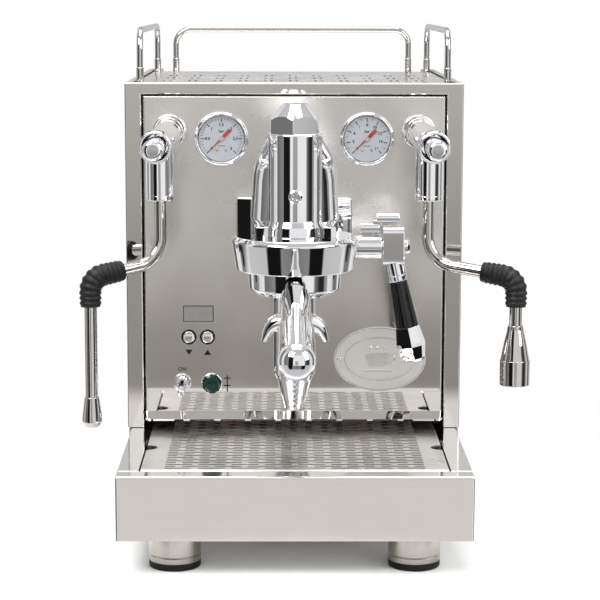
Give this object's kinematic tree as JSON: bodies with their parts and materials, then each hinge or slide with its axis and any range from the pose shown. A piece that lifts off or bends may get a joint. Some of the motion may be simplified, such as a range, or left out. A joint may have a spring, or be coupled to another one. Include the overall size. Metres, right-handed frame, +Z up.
{
  "type": "espresso machine",
  "caption": "Compact lever-group espresso machine with mirror front, twin swivelling wands, drip drawer, cup rails, gauges and portafilter.",
  "frame": {"origin": "on the floor under the middle of the machine's outer box", "axes": "+X to the right seen from the front, +Y to the back, +Z up"},
  "size_m": [0.3284, 0.5742, 0.379],
  "materials": {
    "polished_steel": "mirror-polished stainless steel sheet",
    "satin_steel": "fine brushed stainless steel",
    "chrome": "polished chrome plating",
    "black_rubber": "matt black rubber",
    "black_plastic": "black plastic",
    "white_dial": "white printed dial",
    "clear_glass": "clear glass",
    "red_needle": "red paint",
    "display_grey": "grey display window",
    "green_lens": "green faceted lens",
    "copper": "copper pipe and boiler",
    "tank_plastic": "translucent plastic",
    "seal_rubber": "black seal rubber"
  },
  "bodies": {
    "machine": {"base_frame": "polished_steel", "foot_sleeves": "satin_steel", "foot_pads": "black_rubber", "front_frame": "polished_steel", "left_side_panel": "polished_steel", "right_side_panel": "polished_steel", "back_panel": "satin_steel", "case_screws": "satin_steel", "front_panel": "polished_steel", "gauge_cases": "polished_steel", "gauge_dials": "white_dial", "gauge_glasses": "clear_glass", "temperature_display": "display_grey", "button_rings": "black_plastic", "switch_bushing": "chrome", "lamp_bezel": "chrome", "lamp_lens": "green_lens", "badge": "satin_steel", "steam_tap_body": "chrome", "water_tap_body": "chrome", "group_body": "chrome", "group_bell": "chrome", "group_gasket": "seal_rubber", "shower_screen": "satin_steel", "group_cap_nut": "chrome", "group_bolts": "chrome", "drain_nozzle": "chrome", "lever_housing": "chrome", "boiler": "copper", "heating_element": "copper", "boiler_pipes": "copper", "water_tank": "tank_plastic", "pump": "black_plastic", "control_box": "black_plastic", "power_inlet": "black_plastic"},
    "cup_tray": {"cup_plate": "satin_steel", "rail_feet": "chrome", "cup_rails": "chrome"},
    "drip_drawer": {"drip_tray_front": "satin_steel", "drip_tray_pan": "satin_steel"},
    "grate": {"drip_grate": "polished_steel"},
    "portafilter": {"portafilter_body": "chrome", "filter_basket": "satin_steel", "portafilter_spout": "chrome", "portafilter_handle": "chrome"},
    "lever": {"brew_lever": "chrome", "brew_lever_grip": "black_plastic"},
    "steam_joystick": {"steam_tap_lever": "chrome"},
    "water_joystick": {"water_tap_lever": "chrome"},
    "steam_wand_swivel": {"steam_wand": "polished_steel", "steam_wand_grip": "black_rubber", "steam_nozzle": "polished_steel"},
    "water_wand_swivel": {"water_wand": "polished_steel", "water_wand_grip": "black_rubber", "water_nozzle": "polished_steel"},
    "steam_needle": {"steam_gauge_needle": "red_needle"},
    "pump_needle": {"pump_gauge_needle": "red_needle"},
    "down_key": {"down_button": "chrome"},
    "up_key": {"up_button": "chrome"},
    "power_switch": {"switch_lever": "chrome"}
  },
  "joints": [
    {"name": "cup_tray_lift", "type": "slide", "parent": "machine", "child": "cup_tray", "axis": [0, 0, 1], "range_m": [0, 0.04]},
    {"name": "drip_drawer_slide", "type": "slide", "parent": "machine", "child": "drip_drawer", "axis": [0, -1, 0], "range_m": [0, 0.16]},
    {"name": "grate_lift", "type": "slide", "parent": "drip_drawer", "child": "grate", "axis": [0, 0, 1], "range_m": [0, 0.006]},
    {"name": "portafilter_turn", "type": "hinge", "parent": "machine", "child": "portafilter", "pos_m": [-0.00785, -0.10985, 0.216], "axis": [0, 0, 1], "range_deg": [-45, 0]},
    {"name": "brew_lever_turn", "type": "hinge", "parent": "machine", "child": "lever", "pos_m": [-0.00785, -0.05685, 0.221], "axis": [-1, 0, 0], "range_deg": [0, 65]},
    {"name": "steam_joystick_tilt", "type": "hinge", "parent": "machine", "child": "steam_joystick", "pos_m": [-0.10645, -0.08085, 0.297], "axis": [-1, 0, 0], "range_deg": [-8, 8], "stiffness_Nm_per_rad": 2},
    {"name": "water_joystick_tilt", "type": "hinge", "parent": "machine", "child": "water_joystick", "pos_m": [0.09075, -0.08085, 0.297], "axis": [-1, 0, 0], "range_deg": [-8, 8], "stiffness_Nm_per_rad": 2},
    {"name": "steam_wand_turn", "type": "hinge", "parent": "machine", "child": "steam_wand_swivel", "pos_m": [-0.10675, -0.04485, 0.262], "axis": [0, 0, 1], "range_deg": [-50, 45]},
    {"name": "water_wand_turn", "type": "hinge", "parent": "machine", "child": "water_wand_swivel", "pos_m": [0.09105, -0.04485, 0.262], "axis": [0, 0, 1], "range_deg": [-50, 45]},
    {"name": "steam_needle_turn", "type": "hinge", "parent": "machine", "child": "steam_needle", "pos_m": [-0.06265, -0.00485, 0.2965], "axis": [0, 1, 0], "range_deg": [0, 270], "stiffness_Nm_per_rad": 0.0005},
    {"name": "pump_needle_turn", "type": "hinge", "parent": "machine", "child": "pump_needle", "pos_m": [0.04695, -0.00485, 0.2965], "axis": [0, 1, 0], "range_deg": [0, 270], "stiffness_Nm_per_rad": 0.0005},
    {"name": "down_button_press", "type": "slide", "parent": "machine", "child": "down_key", "axis": [0, 1, 0], "range_m": [0, 0.0012], "stiffness_N_per_m": 300},
    {"name": "up_button_press", "type": "slide", "parent": "machine", "child": "up_key", "axis": [0, 1, 0], "range_m": [0, 0.0012], "stiffness_N_per_m": 300},
    {"name": "power_switch_flip", "type": "hinge", "parent": "machine", "child": "power_switch", "pos_m": [-0.09345, -0.00885, 0.1095], "axis": [-1, 0, 0], "range_deg": [0, 26]}
  ]
}
